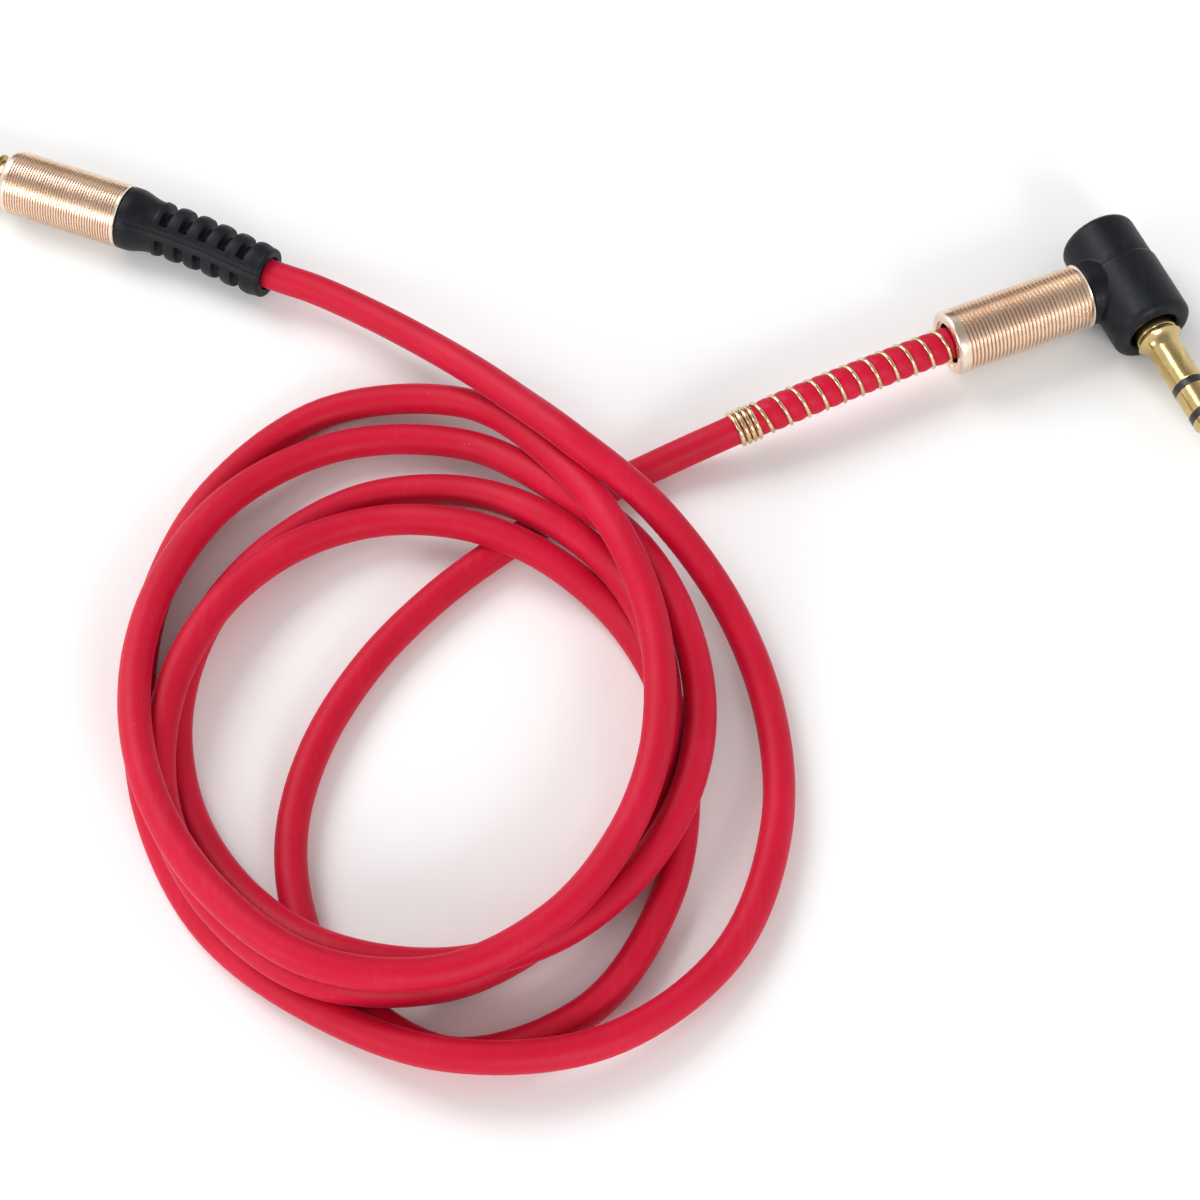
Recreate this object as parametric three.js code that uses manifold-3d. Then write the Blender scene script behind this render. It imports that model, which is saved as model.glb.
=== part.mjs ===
// A stereo audio lead about a metre long: a straight 3.5 mm plug with a slotted boot,
// a loosely coiled round cord, a wire strain relief spring and a right-angle 3.5 mm plug.
// Millimetres, +Z up. The lead lies on the plane z = 0.
import * as THREE from 'three';
import { mergeVertices } from 'three/addons/utils/BufferGeometryUtils.js';
import Module from 'manifold-3d';

const wasm = await Module();
wasm.setup();

// ---------------------------------------------------------------- driving sizes
const GAP = 0.3; // clearance kept between solids that meet face to face
const SLIP = 0.1; // clearance between the nested contacts of a jack
const CORD_D = 3.1; // outer diameter of the cord's jacket
const CORD_FACET_R = 1.42; // corner radius of the eight-sided cord solids
const CORD_SIDES = 8;
const CORD_STEP = 6.5; // length of one straight step of a cord solid

const JACK_D = 3.5; // the standard jack diameter, which sets the scale
const JACK_LENGTH = 14; // from the flange's face to the nose
const FLANGE_FACE = 1.15; // how far the flange stands out of its seat
const SHELL_D = 6.7;
const SHELL_BORE_D = 5.5;

const STRAIGHT = {
  seat: new THREE.Vector3(-55.27, 13.78, SHELL_D / 2), // middle of the shell's front face
  heading: -20.9, // degrees from +X of the line from the front face to the cord
  shellLength: 13.55,
  bootLength: 16.95,
  bootBend: 1.35, // how far the boot's end is pulled off the plug's axis
};
const ANGLED = {
  corner: new THREE.Vector3(60.0, 0.1, 4.2), // where the shell's axis meets the jack's
  heading: 23.0, // degrees from +X of the line from the cord to the corner
  shellNear: 4.8, // distance of the shell's near end from the corner
  shellLength: 15.2,
  barrelD: 8.4,
  barrelLength: 13.1,
  barrelSeat: 6.9, // distance of the barrel's open face from the corner
};

// ---------------------------------------------------------------- the cord's route
// The loose coil lies round this centre. Each entry of COIL_TURNS is the reach and the
// height of the cord's centreline at one clock position: the first is at COIL_START
// degrees, and each of the next is CLOCK_STEP degrees further round, clockwise from above.
const COIL_CENTRE = new THREE.Vector2(-6.9, -48.4);
const COIL_START = 67.5;
const CLOCK_STEP = 22.5;
const COIL_TURNS = [
  [27.4, 10.8], [26.45, 8.5], [27.8, 3.8], [29.6, 1.6], [32.3, 1.6], [35.4, 2.2], [36.6, 3.3], [35.5, 4.4],
  [32.6, 2.6], [31.35, 1.6], [30.3, 1.6], [30.3, 1.6], [32.1, 1.6], [34.9, 1.6], [36.95, 1.6], [34.1, 3.4],
  [25.9, 7.9], [21.6, 9.1], [19.7, 8.1], [19.1, 7.6], [19.9, 7.0], [21.9, 6.9], [25.3, 7.3], [28.9, 7.7],
  [30.7, 8.4], [30.0, 7.6], [29.75, 7.4], [30.05, 6.4], [31.15, 4.6], [32.3, 3.4], [32.3, 2.1], [29.8, 2.4],
  [24.8, 5.2], [23.5, 5.8], [22.7, 6.0], [22.9, 4.6], [23.5, 4.6], [24.4, 4.2], [25.8, 4.3], [27.2, 5.1],
  [27.9, 5.3], [27.1, 2.8], [26.8, 1.6], [26.6, 1.6], [26.4, 1.6], [26.1, 1.6], [25.9, 1.6], [24.3, 2.5],
  [21.8, 4.2], [20.8, 3.7], [19.8, 4.5], [19.7, 4.5], [20.4, 3.5], [21.9, 2.3], [24.2, 1.6], [27.8, 2.0],
  [31.2, 5.3], [30.3, 4.5], [29.0, 4.4], [27.1, 4.6], [25.3, 4.4], [23.8, 3.6], [22.3, 2.7], [19.7, 3.7],
  [18.3, 3.5], [18.4, 1.7], [18.8, 1.6], [20.3, 1.6], [23.1, 1.6], [27.5, 1.6], [32.6, 1.6], [34.3, 1.6],
  [29.0, 1.6],
];
const FIRST_BUNDLED = 9; // the entries from here to LAST_BUNDLED lie in the bundle
const LAST_BUNDLED = 67;
// The straight plug's cord climbs over the coil, and the last turn cuts across its middle.
const LEAD_IN = [
  [-22.5, -0.5, 3.6], [-16.6, -4.2, 4.4], [-11.1, -8.4, 5.6], [-6.0, -12.9, 7.1], [-1.3, -17.7, 8.8],
];
const LEAD_OUT = [
  [-21.0, -68.9, 1.6], [-22.0, -61.0, 1.6], [-20.2, -52.2, 1.6], [-15.7, -43.4, 1.6], [-9.3, -35.7, 1.6],
  [-1.7, -29.2, 1.6], [5.8, -24.2, 1.6], [12.8, -20.4, 1.9], [19.2, -17.8, 3.2], [26.4, -14.7, 4.1],
  [33.7, -11.3, 4.2],
];
const CORD_START = 9.15; // where the cord begins inside the straight plug, from its seat
const CORD_END = 3.7; // where it ends inside the right-angle plug, from the corner

// ---------------------------------------------------------------- frames of the plugs
const radians = THREE.MathUtils.degToRad;
const along = (degrees) => new THREE.Vector3(Math.cos(radians(degrees)), Math.sin(radians(degrees)), 0);

function straightAxis(distance) {
  return STRAIGHT.seat.clone().addScaledVector(along(STRAIGHT.heading), distance);
}

function angledShellAxis(distance) {
  return ANGLED.corner.clone().addScaledVector(along(ANGLED.heading), -distance);
}

// The boot's centreline leaves the plug's axis as a shallow parabola.
function bootAxis(distance) {
  const reach = distance - STRAIGHT.shellLength;
  const pull = STRAIGHT.bootBend * (reach / STRAIGHT.bootLength) ** 2;
  return straightAxis(distance).addScaledVector(along(STRAIGHT.heading - 90), pull);
}

function coilPoints() {
  return COIL_TURNS.map(([reach, height], index) => {
    const clock = radians(COIL_START - CLOCK_STEP * index);
    return new THREE.Vector3(
      COIL_CENTRE.x + reach * Math.cos(clock),
      COIL_CENTRE.y + reach * Math.sin(clock),
      height,
    );
  });
}

const bootEnd = STRAIGHT.shellLength + STRAIGHT.bootLength;
const shellMouth = ANGLED.shellNear + ANGLED.shellLength;
const route = [
  straightAxis(CORD_START),
  straightAxis(STRAIGHT.shellLength),
  bootAxis((STRAIGHT.shellLength + bootEnd) / 2),
  bootAxis(bootEnd),
  ...LEAD_IN.map((point) => new THREE.Vector3(...point)),
  ...coilPoints(),
  ...LEAD_OUT.map((point) => new THREE.Vector3(...point)),
  angledShellAxis(shellMouth - 2),
  angledShellAxis(shellMouth - 9),
  angledShellAxis(CORD_END),
];
const ARC_STEPS = 4000; // how finely the cord's length is measured
const cord = new THREE.CatmullRomCurve3(route, false, 'centripetal');
cord.arcLengthDivisions = ARC_STEPS;
const cordLength = cord.getLength();

// ---------------------------------------------------------------- makers of shape
// A stretch of the cord's centreline between two distances from its start.
class Stretch extends THREE.Curve {
  constructor(from, to) {
    super();
    this.from = from;
    this.to = to;
  }

  getPoint(t, target = new THREE.Vector3()) {
    return target.copy(cord.getPointAt((this.from + (this.to - this.from) * t) / cordLength));
  }
}

function disc(radius, sides) {
  const shape = new THREE.Shape();
  for (let i = 0; i < sides; i += 1) {
    const angle = (2 * Math.PI * i) / sides;
    const x = radius * Math.cos(angle);
    const y = radius * Math.sin(angle);
    if (i === 0) shape.moveTo(x, y);
    else shape.lineTo(x, y);
  }
  shape.closePath();
  return shape;
}

function tubeAlong(path, radius, sides, steps) {
  return new THREE.ExtrudeGeometry(disc(radius, sides), { steps, extrudePath: path, bevelEnabled: false });
}

// A solid turned about the X axis. The profile lists [x, radius] pairs from low x to high x
// along the outside; a pierced piece goes back along its bore to where it began.
function turned(profile, sides) {
  const points = profile.map(([x, radius]) => new THREE.Vector2(radius, x));
  return new THREE.LatheGeometry(points, sides).rotateZ(-Math.PI / 2);
}

// Bends a solid that lies along +X from x = 0 so that it follows the cord's centreline.
function bentToCord(geometry, from) {
  const position = geometry.getAttribute('position');
  const up = new THREE.Vector3(0, 0, 1);
  for (let i = 0; i < position.count; i += 1) {
    const t = (from + position.getX(i)) / cordLength;
    const ahead = cord.getTangentAt(t);
    const side = new THREE.Vector3().crossVectors(up, ahead).normalize();
    const lift = new THREE.Vector3().crossVectors(ahead, side);
    const point = cord.getPointAt(t)
      .addScaledVector(side, position.getY(i))
      .addScaledVector(lift, position.getZ(i));
    position.setXYZ(i, point.x, point.y, point.z);
  }
  return geometry;
}

function solidOf(geometry) {
  const bare = geometry.clone();
  bare.deleteAttribute('normal');
  bare.deleteAttribute('uv');
  const merged = mergeVertices(bare, 1e-4);
  return new wasm.Manifold(new wasm.Mesh({
    numProp: 3,
    vertProperties: new Float32Array(merged.getAttribute('position').array),
    triVerts: new Uint32Array(merged.getIndex().array),
  }));
}

function geometryOf(solid) {
  const mesh = solid.getMesh();
  const geometry = new THREE.BufferGeometry();
  geometry.setAttribute('position', new THREE.BufferAttribute(new Float32Array(mesh.vertProperties), 3));
  geometry.setIndex(new THREE.BufferAttribute(new Uint32Array(mesh.triVerts), 1));
  return geometry;
}

// ---------------------------------------------------------------- finishes
const finish = (color, roughness, metalness) => new THREE.MeshStandardMaterial({ color, roughness, metalness });
const FINISH = {
  cord: () => finish(0xda2840, 0.6, 0),
  gold: () => finish(0xd9b45a, 0.25, 1),
  roseGold: () => finish(0xd6aa8c, 0.3, 1),
  brass: () => finish(0xd8c48c, 0.35, 1),
  blackRubber: () => finish(0x23262c, 0.55, 0),
  blackRing: () => finish(0x19191c, 0.5, 0),
  mould: () => finish(0xd8d6cc, 0.6, 0),
  copper: () => finish(0xb87333, 0.35, 1),
  redWire: () => finish(0xb02020, 0.5, 0),
  greenWire: () => finish(0x2a8040, 0.5, 0),
};

function named(name, geometry, material) {
  const mesh = new THREE.Mesh(geometry, material);
  mesh.name = name;
  return mesh;
}

// ---------------------------------------------------------------- the 3.5 mm jack
// Local frame: x = 0 at the seat, +X towards the nose. The contacts are nested tubes, each
// kept from the next by an insulator whose black ring shows between them.
const JACK = {
  sleeveEnd: 6.95,
  insulatorWidth: 0.8,
  ringWidth: 2.7,
  rodR: 0.45,
  wall: 0.25,
  flangeR: 2.15,
  tailR: 1.9,
  tailEnd: -2.2,
  sides: 24,
};

function jackMeshes(prefix) {
  const outer = JACK_D / 2;
  const nose = FLANGE_FACE + JACK_LENGTH;
  const ringFrom = JACK.sleeveEnd + JACK.insulatorWidth;
  const ringTo = ringFrom + JACK.ringWidth;
  const tipFrom = ringTo + JACK.insulatorWidth;
  const step = JACK.wall + SLIP;
  const tipTube = { inner: JACK.rodR + SLIP, outer: JACK.rodR + step };
  const ringTube = { inner: tipTube.outer + SLIP, outer: tipTube.outer + step };
  const guardTube = { inner: ringTube.outer + SLIP, outer: ringTube.outer + step };
  const sleeveBore = guardTube.outer + SLIP;

  // A tube with a full-diameter head at its nose end, pierced along its length.
  const headed = (tube, tailX, headX, noseX) => turned([
    [tailX, tube.inner], [tailX, tube.outer], [headX, tube.outer], [headX, outer],
    [noseX, outer], [noseX, tube.inner], [tailX, tube.inner],
  ], JACK.sides);

  const tip = turned([
    [-5.6, 0], [-5.6, JACK.rodR], [tipFrom + SLIP, JACK.rodR], [tipFrom + SLIP, outer],
    [tipFrom + 0.6, outer], [tipFrom + 1.3, 1.3], [tipFrom + 1.5, 1.3], [tipFrom + 2.2, 1.62],
    [tipFrom + 2.6, 1.62], [nose - 0.2, 0.6], [nose, 0.4], [nose, 0],
  ], JACK.sides);
  const tipInsulator = headed(tipTube, -3.9, ringTo + SLIP, tipFrom);
  const ring = headed(ringTube, -3.4, ringFrom + SLIP, ringTo);
  const ringInsulator = headed(guardTube, -2.8, JACK.sleeveEnd + SLIP, ringFrom);
  const sleeve = turned([
    [JACK.tailEnd, sleeveBore], [JACK.tailEnd, JACK.tailR], [-0.5, JACK.tailR], [-0.5, JACK.flangeR],
    [FLANGE_FACE, JACK.flangeR], [FLANGE_FACE + 0.1, 1.98], [FLANGE_FACE + 0.6, 1.83], [FLANGE_FACE + 1.3, outer],
    [JACK.sleeveEnd, outer], [JACK.sleeveEnd, sleeveBore], [JACK.tailEnd, sleeveBore],
  ], JACK.sides);
  // The block that the contacts are moulded into, behind the seat.
  const block = turned([
    [-6.2, 1.7], [-6.2, 2.5], [-2.4, 2.5], [-2.4, 1.7], [-6.2, 1.7],
  ], JACK.sides);

  return [
    named(`${prefix}_tip_contact`, tip, FINISH.gold()),
    named(`${prefix}_tip_insulator`, tipInsulator, FINISH.blackRing()),
    named(`${prefix}_ring_contact`, ring, FINISH.gold()),
    named(`${prefix}_ring_insulator`, ringInsulator, FINISH.blackRing()),
    named(`${prefix}_ground_sleeve`, sleeve, FINISH.gold()),
    named(`${prefix}_contact_block`, block, FINISH.mould()),
  ];
}

// The two cores and the shield's drain wire between the cord's end and the contacts.
function wireMeshes(prefix, from, to) {
  const kinds = [['left_wire', FINISH.redWire], ['right_wire', FINISH.greenWire], ['drain_wire', FINISH.copper]];
  return kinds.map(([kind, makeFinish], index) => {
    const swing = (2 * Math.PI * index) / kinds.length;
    const offset = (radius) => new THREE.Vector3(0, Math.cos(swing), Math.sin(swing)).multiplyScalar(radius);
    const path = new THREE.LineCurve3(from.clone().add(offset(0.8)), to.clone().add(offset(1.1)));
    return named(`${prefix}_${kind}`, tubeAlong(path, 0.35, 6, 1), makeFinish());
  });
}

// ---------------------------------------------------------------- the straight plug
function straightPlug() {
  const group = new THREE.Group();
  group.position.copy(STRAIGHT.seat);
  group.rotation.z = radians(STRAIGHT.heading + 180);

  const r = SHELL_D / 2;
  const bore = SHELL_BORE_D / 2;
  const mouth = JACK.flangeR + SLIP;
  const frontWall = 0.9;
  const bevel = 0.4;
  const back = -STRAIGHT.shellLength;
  const shell = turned([
    [back, bore], [back, r], [-bevel, r], [0, r - bevel], [0, mouth], [-frontWall, mouth],
    [-frontWall, bore], [back, bore],
  ], 32);
  group.add(named('straight_shell', shell, FINISH.roseGold()));
  group.add(...jackMeshes('straight'));
  group.add(...wireMeshes(
    'straight',
    new THREE.Vector3(-CORD_START + GAP, 0, 0),
    new THREE.Vector3(-6.2 - GAP, 0, 0),
  ));
  return group;
}

// The boot: a spigot inside the shell, a bell against its end, and a slim tapered tail.
function straightBoot() {
  const spigot = 3;
  const bore = 1.75;
  const length = STRAIGHT.bootLength;
  const profile = [
    [0, bore], [0, 2.6], [spigot + GAP, 2.6], [spigot + GAP, 3.25], [spigot + 1.6, 3.25],
    [spigot + 3.4, 3.0], [spigot + 6.5, 2.85], [spigot + 10, 2.72], [spigot + 13.4, 2.6],
    [spigot + length, 2.45], [spigot + length, bore], [spigot + 10, bore], [spigot + 5, bore], [0, bore],
  ];
  return bentToCord(turned(profile, 24), STRAIGHT.shellLength - spigot - CORD_START + GAP);
}

// ---------------------------------------------------------------- the right-angle plug
// Local frame: the corner at the origin, +X along the shell's axis away from the cord, and
// the jack pointing to -Y.
function angledPlug() {
  const group = new THREE.Group();
  group.position.copy(ANGLED.corner);
  group.rotation.z = radians(ANGLED.heading);

  const r = ANGLED.barrelD / 2;
  const round = 0.8;
  const slim = 0.2; // how much slimmer the barrel's head is than its body
  const top = -ANGLED.barrelLength;
  const waist = top + 5.3;
  const recess = JACK.flangeR + 0.55;
  const barrel = turned([
    [top, 0], [top, r - slim - round], [top + round * 0.3, r - slim - round * 0.3], [top + round, r - slim],
    [waist, r - slim], [waist + 0.2, r], [-round, r], [-round * 0.3, r - round * 0.3], [0, r - round],
    [0, recess], [-9.6, recess], [-9.6, 0],
  ], 32).rotateZ(-Math.PI / 2).translate(0, -ANGLED.barrelSeat, 0);
  const neckEnd = -ANGLED.shellNear + GAP;
  const spigotEnd = neckEnd - 3.4;
  const neck = turned([
    [spigotEnd, 0], [spigotEnd, 2.6], [neckEnd, 2.6], [neckEnd, 3.1], [-2.9, 3.1], [-2.9, 0],
  ], 32);
  const neckBore = turned([[spigotEnd - 1, 0], [spigotEnd - 1, 1.75], [-1, 1.75], [-1, 0]], 24);
  const elbow = solidOf(barrel).add(solidOf(neck)).subtract(solidOf(neckBore));
  group.add(named('angled_elbow', geometryOf(elbow), FINISH.blackRubber()));

  const outer = SHELL_D / 2;
  const bore = SHELL_BORE_D / 2;
  const mouthR = 2.4;
  const far = -shellMouth;
  const near = -ANGLED.shellNear;
  const lip = 0.7;
  const bevel = 0.45;
  const shell = turned([
    [far, mouthR], [far, outer - bevel], [far + bevel, outer], [near, outer], [near, bore],
    [far + lip, bore], [far + lip, mouthR], [far, mouthR],
  ], 32);
  group.add(named('angled_shell', shell, FINISH.roseGold()));

  const jack = new THREE.Group();
  jack.position.set(0, -ANGLED.barrelSeat, 0);
  jack.rotation.z = -Math.PI / 2;
  jack.add(...jackMeshes('angled'));
  group.add(jack);
  return group;
}

// The three wires turn the corner from the cord's end to the back of the contact block.
function angledWires() {
  const group = new THREE.Group();
  group.position.copy(ANGLED.corner);
  group.rotation.z = radians(ANGLED.heading);
  const kinds = [
    ['left_wire', FINISH.redWire, 0.9],
    ['right_wire', FINISH.greenWire, 0],
    ['drain_wire', FINISH.copper, -0.9],
  ];
  for (const [kind, makeFinish, level] of kinds) {
    const path = new THREE.QuadraticBezierCurve3(
      new THREE.Vector3(-CORD_END + GAP, 0.4, level),
      new THREE.Vector3(-0.6, 0.7, level * 1.4),
      new THREE.Vector3(0, -0.45, level * 2.1),
    );
    group.add(named(`angled_${kind}`, tubeAlong(path, 0.32, 6, 5), makeFinish()));
  }
  return group;
}

// ---------------------------------------------------------------- the spring
// A wire spring round the cord: four closed turns, then open turns up into the shell.
const SPRING = {
  wireD: 0.45,
  coilR: 1.9,
  closedTurns: 4,
  closedPitch: 0.6,
  openTurns: 11,
  openPitch: 2.0,
  insideShell: 0.65,
  stepsPerTurn: 9,
  sides: 5,
};
const springLength = SPRING.closedTurns * SPRING.closedPitch + SPRING.openTurns * SPRING.openPitch;

class SpringPath extends THREE.Curve {
  getPoint(t, target = new THREE.Vector3()) {
    const turn = t * (SPRING.closedTurns + SPRING.openTurns);
    const open = Math.max(0, turn - SPRING.closedTurns);
    const x = Math.min(turn, SPRING.closedTurns) * SPRING.closedPitch + open * SPRING.openPitch;
    const angle = 2 * Math.PI * turn;
    return target.set(x, SPRING.coilR * Math.cos(angle), SPRING.coilR * Math.sin(angle));
  }
}

function strainSpring() {
  const turns = SPRING.closedTurns + SPRING.openTurns;
  const path = new SpringPath();
  path.arcLengthDivisions = 1200;
  const wire = tubeAlong(path, SPRING.wireD / 2, SPRING.sides, turns * SPRING.stepsPerTurn);
  const mouthAt = cordLength - (shellMouth - CORD_END);
  return bentToCord(wire, mouthAt + SPRING.insideShell - springLength);
}

// ---------------------------------------------------------------- the cord's solids
// The bundle's solid is a lathed ring whose section is stretched, at each clock position, to
// the least and the greatest reach of the turns that lie there, and up to the highest.
function coilBundle() {
  const clocks = Math.round(360 / CLOCK_STEP);
  const spans = Array.from({ length: clocks }, () => ({ low: Infinity, high: 0, top: 0 }));
  for (let index = FIRST_BUNDLED; index <= LAST_BUNDLED; index += 1) {
    const clock = (((COIL_START - CLOCK_STEP * index) / CLOCK_STEP) % clocks + clocks) % clocks;
    const [reach, height] = COIL_TURNS[index];
    const span = spans[Math.round(clock) % clocks];
    span.low = Math.min(span.low, reach);
    span.high = Math.max(span.high, reach);
    span.top = Math.max(span.top, height);
  }
  const inset = 0.2; // the bundle is not solid right to its outermost line
  const profile = [[1, 0], [2, 0], [2, 1], [1, 1], [1, 0]].map(([x, y]) => new THREE.Vector2(x, y));
  const ring = new THREE.LatheGeometry(profile, clocks).rotateX(Math.PI / 2);
  const position = ring.getAttribute('position');
  for (let i = 0; i < position.count; i += 1) {
    const angle = Math.atan2(position.getY(i), position.getX(i));
    const isOuter = Math.hypot(position.getX(i), position.getY(i)) > 1.5;
    const clock = (Math.round(THREE.MathUtils.radToDeg(angle) / CLOCK_STEP) + clocks) % clocks;
    const span = spans[clock];
    const reach = isOuter ? span.high + CORD_D / 2 - inset : span.low - CORD_D / 2 + inset;
    const height = position.getZ(i) > 0.5 ? span.top + inset : 0;
    position.setXYZ(
      i,
      COIL_CENTRE.x + reach * Math.cos(clock * radians(CLOCK_STEP)),
      COIL_CENTRE.y + reach * Math.sin(clock * radians(CLOCK_STEP)),
      height,
    );
  }
  return ring;
}

function cordTube(from, to) {
  return tubeAlong(new Stretch(from, to), CORD_FACET_R, CORD_SIDES, Math.ceil((to - from) / CORD_STEP));
}

// Distance along the cord at which it passes a coil entry, fractions allowed.
function passing(entry) {
  const first = route.length - LEAD_OUT.length - 3 - COIL_TURNS.length;
  const lengths = cord.getLengths(ARC_STEPS);
  return lengths[Math.round(((first + entry) / (route.length - 1)) * ARC_STEPS)];
}

const LEAD_IN_ENDS = 7.5; // coil entries at which the lone strands meet the bundle
const LOWER_LOOP_FROM = 69.1;
const LOWER_LOOP_TO = 71.35;
const CROSS_FROM = 74.1;
const CROSS_TO = 77.3;
const LEAD_OUT_FROM = 79.4;

const lead = new THREE.Group();
lead.add(straightPlug());
lead.add(named('straight_boot', straightBoot(), FINISH.blackRubber()));
lead.add(angledPlug());
lead.add(angledWires());
lead.add(named('strain_spring', strainSpring(), FINISH.brass()));
lead.add(named('cord_lead_in', cordTube(0, passing(LEAD_IN_ENDS)), FINISH.cord()));
lead.add(named('cord_coil', coilBundle(), FINISH.cord()));
lead.add(named('cord_lower_loop', cordTube(passing(LOWER_LOOP_FROM), passing(LOWER_LOOP_TO)), FINISH.cord()));
lead.add(named('cord_cross_strand', cordTube(passing(CROSS_FROM), passing(CROSS_TO)), FINISH.cord()));
lead.add(named('cord_lead_out', cordTube(passing(LEAD_OUT_FROM), cordLength), FINISH.cord()));

export default lead;
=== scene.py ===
# %% [markdown]
# # A coiled audio lead
#
# This notebook dresses a stereo audio lead: two 3.5 mm plugs, one straight and one turned
# through a right angle, on about a metre of round red cord that lies in loose turns. The
# plain model of the lead is loaded first and fixes every size and place. Each step then
# makes one visible piece or one finish, and says what it is on the real lead.

# %% Load the plain model
import math

import bpy
from mathutils import Matrix, Vector


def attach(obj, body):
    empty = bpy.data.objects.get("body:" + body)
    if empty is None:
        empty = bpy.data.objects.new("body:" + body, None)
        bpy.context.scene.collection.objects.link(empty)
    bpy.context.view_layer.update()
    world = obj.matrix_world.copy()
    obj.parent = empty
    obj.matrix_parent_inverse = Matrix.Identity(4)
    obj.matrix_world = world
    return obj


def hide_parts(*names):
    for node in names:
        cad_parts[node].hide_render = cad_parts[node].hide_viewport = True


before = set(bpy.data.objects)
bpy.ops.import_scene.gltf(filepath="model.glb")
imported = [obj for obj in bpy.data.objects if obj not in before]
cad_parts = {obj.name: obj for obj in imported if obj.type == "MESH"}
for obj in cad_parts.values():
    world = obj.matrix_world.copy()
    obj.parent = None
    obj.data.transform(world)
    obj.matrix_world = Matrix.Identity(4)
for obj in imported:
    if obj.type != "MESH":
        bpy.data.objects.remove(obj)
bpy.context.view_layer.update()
bpy.ops.object.select_all(action="DESELECT")
print("pieces in the plain model:", len(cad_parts))

# %% [markdown]
# ## The camera
#
# The lead is small, so it is seen from near by through a long lens, from above and in
# front. The camera looks at a point on the table inside the loose coil.

# %% Camera
MM = 0.001
LOOK_AT = Vector((6.6, -37.4, 4.0)) * MM
LOOK_DOWN = math.radians(60)
LOOK_FROM = 288 * MM

camera_data = bpy.data.cameras.new("camera")
camera_data.lens = 90
camera_data.sensor_width = 36
camera_data.clip_start = 0.01
camera_data.clip_end = 20
camera = bpy.data.objects.new("camera", camera_data)
bpy.context.scene.collection.objects.link(camera)
bpy.context.scene.camera = camera
back_along_view = Vector((0, -math.cos(LOOK_DOWN), math.sin(LOOK_DOWN)))
camera.location = LOOK_AT + back_along_view * LOOK_FROM
camera.rotation_euler = (math.pi / 2 - LOOK_DOWN, 0, 0)
print("camera at", [round(v, 4) for v in camera.location])

# %% [markdown]
# ## Surface effects that several finishes share
#
# Four effects come back on several materials: a slow drift of tone, the fine grain that a
# mould or a tool leaves, thin rub marks, and specks of dust. Each one is a node group that
# puts out a single varying number, so that each finish can use it at its own scale.

# %% Node helpers
def add_node(tree, kind, values=None, **options):
    """Adds a shader node, sets its options, and fills its inputs with numbers or with links."""
    made = tree.nodes.new("ShaderNode" + kind)
    for key, value in options.items():
        setattr(made, key, value)
    for key, value in (values or {}).items():
        if isinstance(value, bpy.types.NodeSocket):
            tree.links.new(value, made.inputs[key])
        else:
            made.inputs[key].default_value = value
    return made


def effect(name, usual_scale, usual_cover=None):
    """An empty group: Scale is in repeats for each metre, Cover is a share of the surface."""
    tree = bpy.data.node_groups.new(name, "ShaderNodeTree")
    usual = {"Scale": usual_scale} if usual_cover is None else {"Scale": usual_scale, "Cover": usual_cover}
    for label, number in usual.items():
        socket = tree.interface.new_socket(label, in_out="INPUT", socket_type="NodeSocketFloat")
        socket.default_value = number
    tree.interface.new_socket("Amount", in_out="OUTPUT", socket_type="NodeSocketFloat")
    place_on_piece = tree.nodes.new("ShaderNodeTexCoord").outputs["Object"]
    return tree, tree.nodes.new("NodeGroupInput").outputs, place_on_piece


def put_out(tree, socket):
    """Closes a group with its one output."""
    tree.links.new(socket, tree.nodes.new("NodeGroupOutput").inputs["Amount"])
    print("node group:", tree.name)


# %% Slow drift of tone
tone_drift, given, spot = effect("tone drift", 60)
clouds = add_node(tone_drift, "TexNoise", {"Vector": spot, "Scale": given["Scale"], "Detail": 3.0})
clear = add_node(tone_drift, "MapRange", {"Value": clouds.outputs["Fac"], "From Min": 0.32, "From Max": 0.68})
put_out(tone_drift, clear.outputs["Result"])

# %% Fine grain
fine_grain, given, spot = effect("fine grain", 4000)
grain = add_node(
    fine_grain, "TexNoise", {"Vector": spot, "Scale": given["Scale"], "Detail": 4.0, "Roughness": 0.65}
)
put_out(fine_grain, grain.outputs["Fac"])

# %% Thin rub marks
rub_marks, given, spot = effect("rub marks", 700, 0.3)
slanted = add_node(
    rub_marks, "Mapping", {"Vector": spot, "Rotation": (0.5, 0.3, 0.7), "Scale": (1.0, 0.07, 1.0)}
)
strands = add_node(
    rub_marks, "TexNoise", {"Vector": slanted.outputs["Vector"], "Scale": given["Scale"], "Detail": 2.0}
)
patches = add_node(rub_marks, "TexNoise", {"Vector": spot, "Scale": 180.0, "Detail": 1.0})
both = add_node(
    rub_marks, "Math", {0: strands.outputs["Fac"], 1: patches.outputs["Fac"]}, operation="MULTIPLY"
)
least = add_node(rub_marks, "Math", {0: 0.5, 1: given["Cover"]}, operation="SUBTRACT")
most = add_node(rub_marks, "Math", {0: least.outputs[0], 1: 0.1}, operation="ADD")
lines = add_node(
    rub_marks, "MapRange",
    {"Value": both.outputs[0], "From Min": least.outputs[0], "From Max": most.outputs[0]},
)
put_out(rub_marks, lines.outputs["Result"])

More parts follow.
